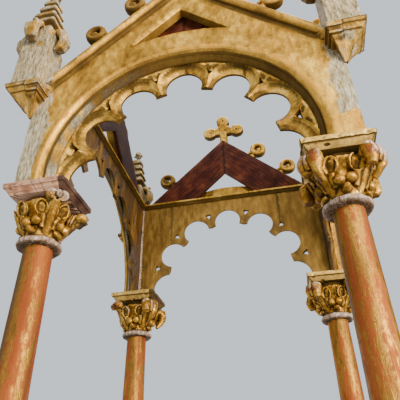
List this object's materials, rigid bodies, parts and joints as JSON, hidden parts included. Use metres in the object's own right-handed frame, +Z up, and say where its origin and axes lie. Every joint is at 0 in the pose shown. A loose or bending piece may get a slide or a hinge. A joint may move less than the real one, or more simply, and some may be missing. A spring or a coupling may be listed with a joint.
{
  "type": "gilded altar canopy on pedestal",
  "caption": "Carved and gilded wooden altar: a square pedestal, columns with leaf capitals, and a canopy of cusped arches, gables, crockets, finials and corner pinnacles.",
  "frame": {"origin": "on the floor under the middle of the pedestal", "axes": "+Z up; the front wall faces -Y and the walls are named front, right, back and left as seen from the front"},
  "size_m": [0.89, 0.89, 2.582],
  "materials": {
    "gilding": "old water gilding over red bole on carved wood, rubbed and dirty",
    "gilt_board": "flat gilded boards, dulled and brownish",
    "bole_gilding": "gilding worn through to orange-red bole in upright streaks",
    "stained_wood": "dark red-brown stained wood, ungilded",
    "bare_wood": "bare pinkish wood with saw and scribe marks",
    "worn_gesso": "grey-white gesso showing through lost gilding"
  },
  "bodies": {
    "root": {"pedestal_plinth": "gilt_board", "pedestal_body": "gilt_board", "pedestal_cornice": "gilding", "altar_slab": "worn_gesso", "column_base_front_left": "gilding", "column_shaft_front_left": "bole_gilding", "capital_front_left": "gilding", "abacus_front_left": "bare_wood", "corbel_front_left": "worn_gesso", "pinnacle_front_left": "worn_gesso", "column_base_front_right": "gilding", "column_shaft_front_right": "bole_gilding", "capital_front_right": "gilding", "abacus_front_right": "gilding", "corbel_front_right": "worn_gesso", "pinnacle_front_right": "worn_gesso", "column_base_back_right": "gilding", "column_shaft_back_right": "bole_gilding", "capital_back_right": "gilding", "abacus_back_right": "gilding", "corbel_back_right": "worn_gesso", "pinnacle_back_right": "worn_gesso", "column_base_back_left": "gilding", "column_shaft_back_left": "bole_gilding", "capital_back_left": "gilding", "abacus_back_left": "gilding", "corbel_back_left": "worn_gesso", "pinnacle_back_left": "worn_gesso", "arch_board_front": "gilding", "tracery_front": "gilt_board", "gable_rafter_front_left": "stained_wood", "gable_rafter_front_right": "stained_wood", "cornice_strip_front": "gilding", "finial_front": "gilding", "arch_board_right": "gilding", "tracery_right": "gilt_board", "gable_rafter_right_left": "stained_wood", "gable_rafter_right_right": "stained_wood", "cornice_strip_right": "gilding", "finial_right": "gilding", "arch_board_back": "gilding", "tracery_back": "gilt_board", "gable_rafter_back_left": "stained_wood", "gable_rafter_back_right": "stained_wood", "cornice_strip_back": "gilding", "finial_back": "gilding", "arch_board_left": "gilding", "tracery_left": "gilt_board", "gable_rafter_left_left": "stained_wood", "gable_rafter_left_right": "stained_wood", "cornice_strip_left": "gilding", "finial_left": "gilding"}
  },
  "joints": []
}
